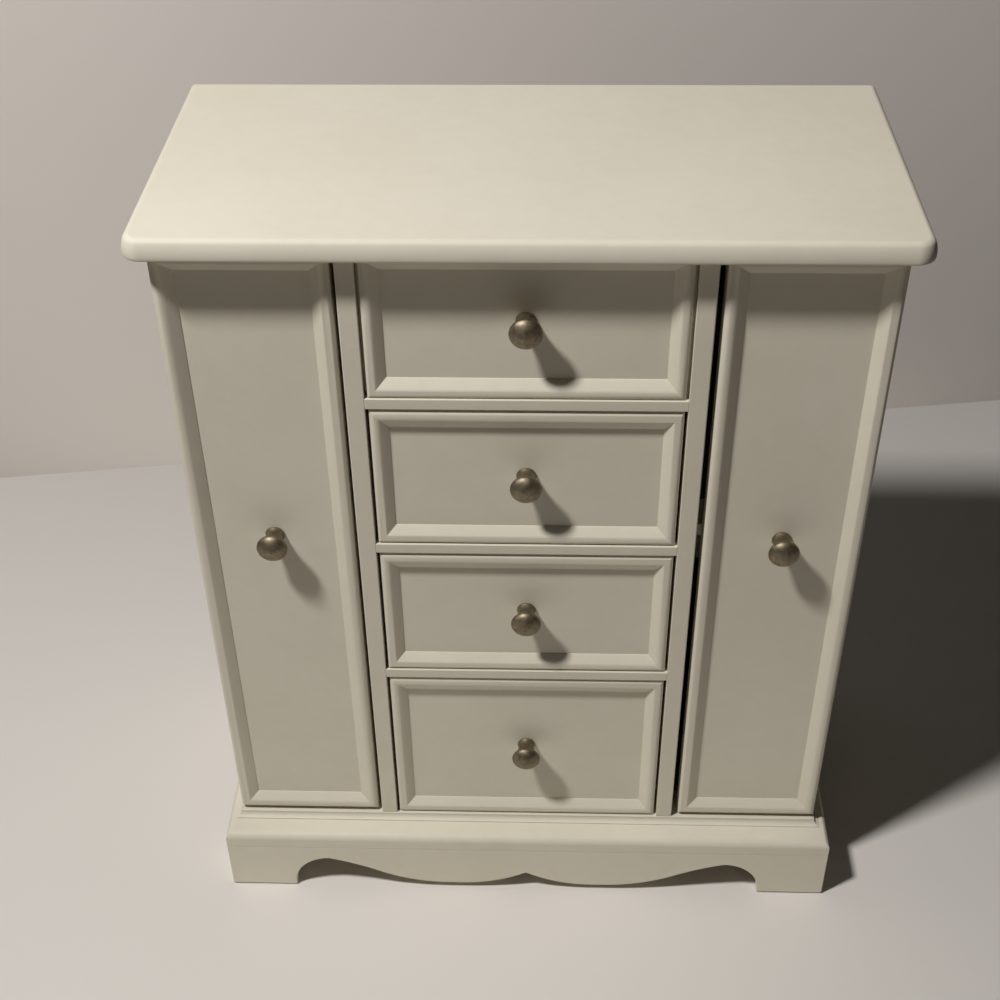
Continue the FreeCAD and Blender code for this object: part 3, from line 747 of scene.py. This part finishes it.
def wall_finish():
    finish = Finish("pale_wall", Roughness=0.8)
    cloud = finish.grain(0.3, detail=2)
    seen = finish.blend(cloud, (0.80, 0.74, 0.70, 1), (0.83, 0.77, 0.73, 1))
    direct = finish.node("ShaderNodeLightPath", output=0)
    gloss = finish.node("ShaderNodeLightPath", output=3)
    finish.colour(finish.blend(direct.maths("MAXIMUM", direct, gloss), (0.08, 0.07, 0.06, 1), seen))
    behind = finish.node("ShaderNodeNewGeometry", output=6)
    clear = finish.node("ShaderNodeBsdfTransparent")
    sided = finish.node("ShaderNodeMixShader", {}, {0: behind, 2: clear})
    finish.tree.links.new(finish.shader.outputs[0], sided.socket.node.inputs[1])
    finish.tree.links.new(sided.socket, finish.tree.nodes["Material Output"].inputs["Surface"])
    return finish.material


wall_left = Vector((-337.6, 239.9, 0)) * mm
wall_right = Vector((310.4, 335.5, 0)) * mm
wall_shape = bmesh.new()
bmesh.ops.create_grid(wall_shape, x_segments=2, y_segments=2, size=1.0)
wall_along = (wall_right - wall_left).normalized()
wall_facing = wall_along.cross(Vector((0, 0, 1)))
wall_middle = (wall_left + wall_right) / 2
wall_half_length = 3
wall_half_height = 1.25
wall_shape.transform(Matrix((
    (wall_half_length * wall_along.x, 0, wall_facing.x, wall_middle.x),
    (wall_half_length * wall_along.y, 0, wall_facing.y, wall_middle.y),
    (0, wall_half_height, 0, wall_half_height),
    (0, 0, 0, 1))))
wall_mesh = bpy.data.meshes.new("wall")
wall_shape.to_mesh(wall_mesh)
wall_shape.free()
wall_mesh.materials.append(wall_finish())
wall = bpy.data.objects.new("wall", wall_mesh)
bpy.context.scene.collection.objects.link(wall)


floor_shape = bmesh.new()
bmesh.ops.create_circle(floor_shape, cap_ends=True, segments=64, radius=6.0)
floor_mesh = bpy.data.meshes.new("floor")
floor_shape.to_mesh(floor_mesh)
floor_shape.free()
floor_mesh.materials.append(floor_finish())
floor = bpy.data.objects.new("floor", floor_mesh)
bpy.context.scene.collection.objects.link(floor)

lamp_place = Vector((-459, -394, 1155)) * mm
lamp_target = Vector((0, 0, 150)) * mm
lamp_light = bpy.data.lights.new("key", "AREA")
lamp_light.shape = "DISK"
lamp_light.size = 0.12
lamp_light.energy = 11
lamp_light.color = (1.0, 0.985, 0.96)
lamp = bpy.data.objects.new("key", lamp_light)
lamp.location = lamp_place
lamp.rotation_euler = (lamp_place - lamp_target).to_track_quat("Z", "Y").to_euler()
bpy.context.scene.collection.objects.link(lamp)

world = bpy.data.worlds.new("surround")
bpy.context.scene.world = world
world.use_nodes = True
surround = world.node_tree.nodes["Background"]
surround.inputs["Color"].default_value = (1.0, 0.94, 0.86, 1)
surround.inputs["Strength"].default_value = 0.025

# The camera stands over the front of the chest and looks down at it, a little to the left. Its
# place, angles and focal length were solved from the straight edges of the chest.
picture_pixels = 1000
camera_place = Vector((7.55, -451.17 - 55.95, 578.26)) * mm
pitch = math.radians(-38.377)
yaw = math.radians(-2.2246)
roll = math.radians(-0.8161)
focal_pixels = 1509.85
ahead = Vector((math.sin(yaw) * math.cos(pitch), math.cos(yaw) * math.cos(pitch), math.sin(pitch)))
level = Vector((math.cos(yaw), -math.sin(yaw), 0))
upright = level.cross(ahead)
right = math.cos(roll) * level + math.sin(roll) * upright
above = -math.sin(roll) * level + math.cos(roll) * upright
camera_data = bpy.data.cameras.new("camera")
camera_data.sensor_width = 36
camera_data.lens = focal_pixels * camera_data.sensor_width / picture_pixels
camera = bpy.data.objects.new("camera", camera_data)
camera.matrix_world = Matrix((
    (right.x, above.x, -ahead.x, camera_place.x),
    (right.y, above.y, -ahead.y, camera_place.y),
    (right.z, above.z, -ahead.z, camera_place.z),
    (0, 0, 0, 1)))
bpy.context.scene.collection.objects.link(camera)
bpy.context.scene.camera = camera
bpy.context.scene.view_settings.view_transform = "Standard"

bpy.context.view_layer.update()
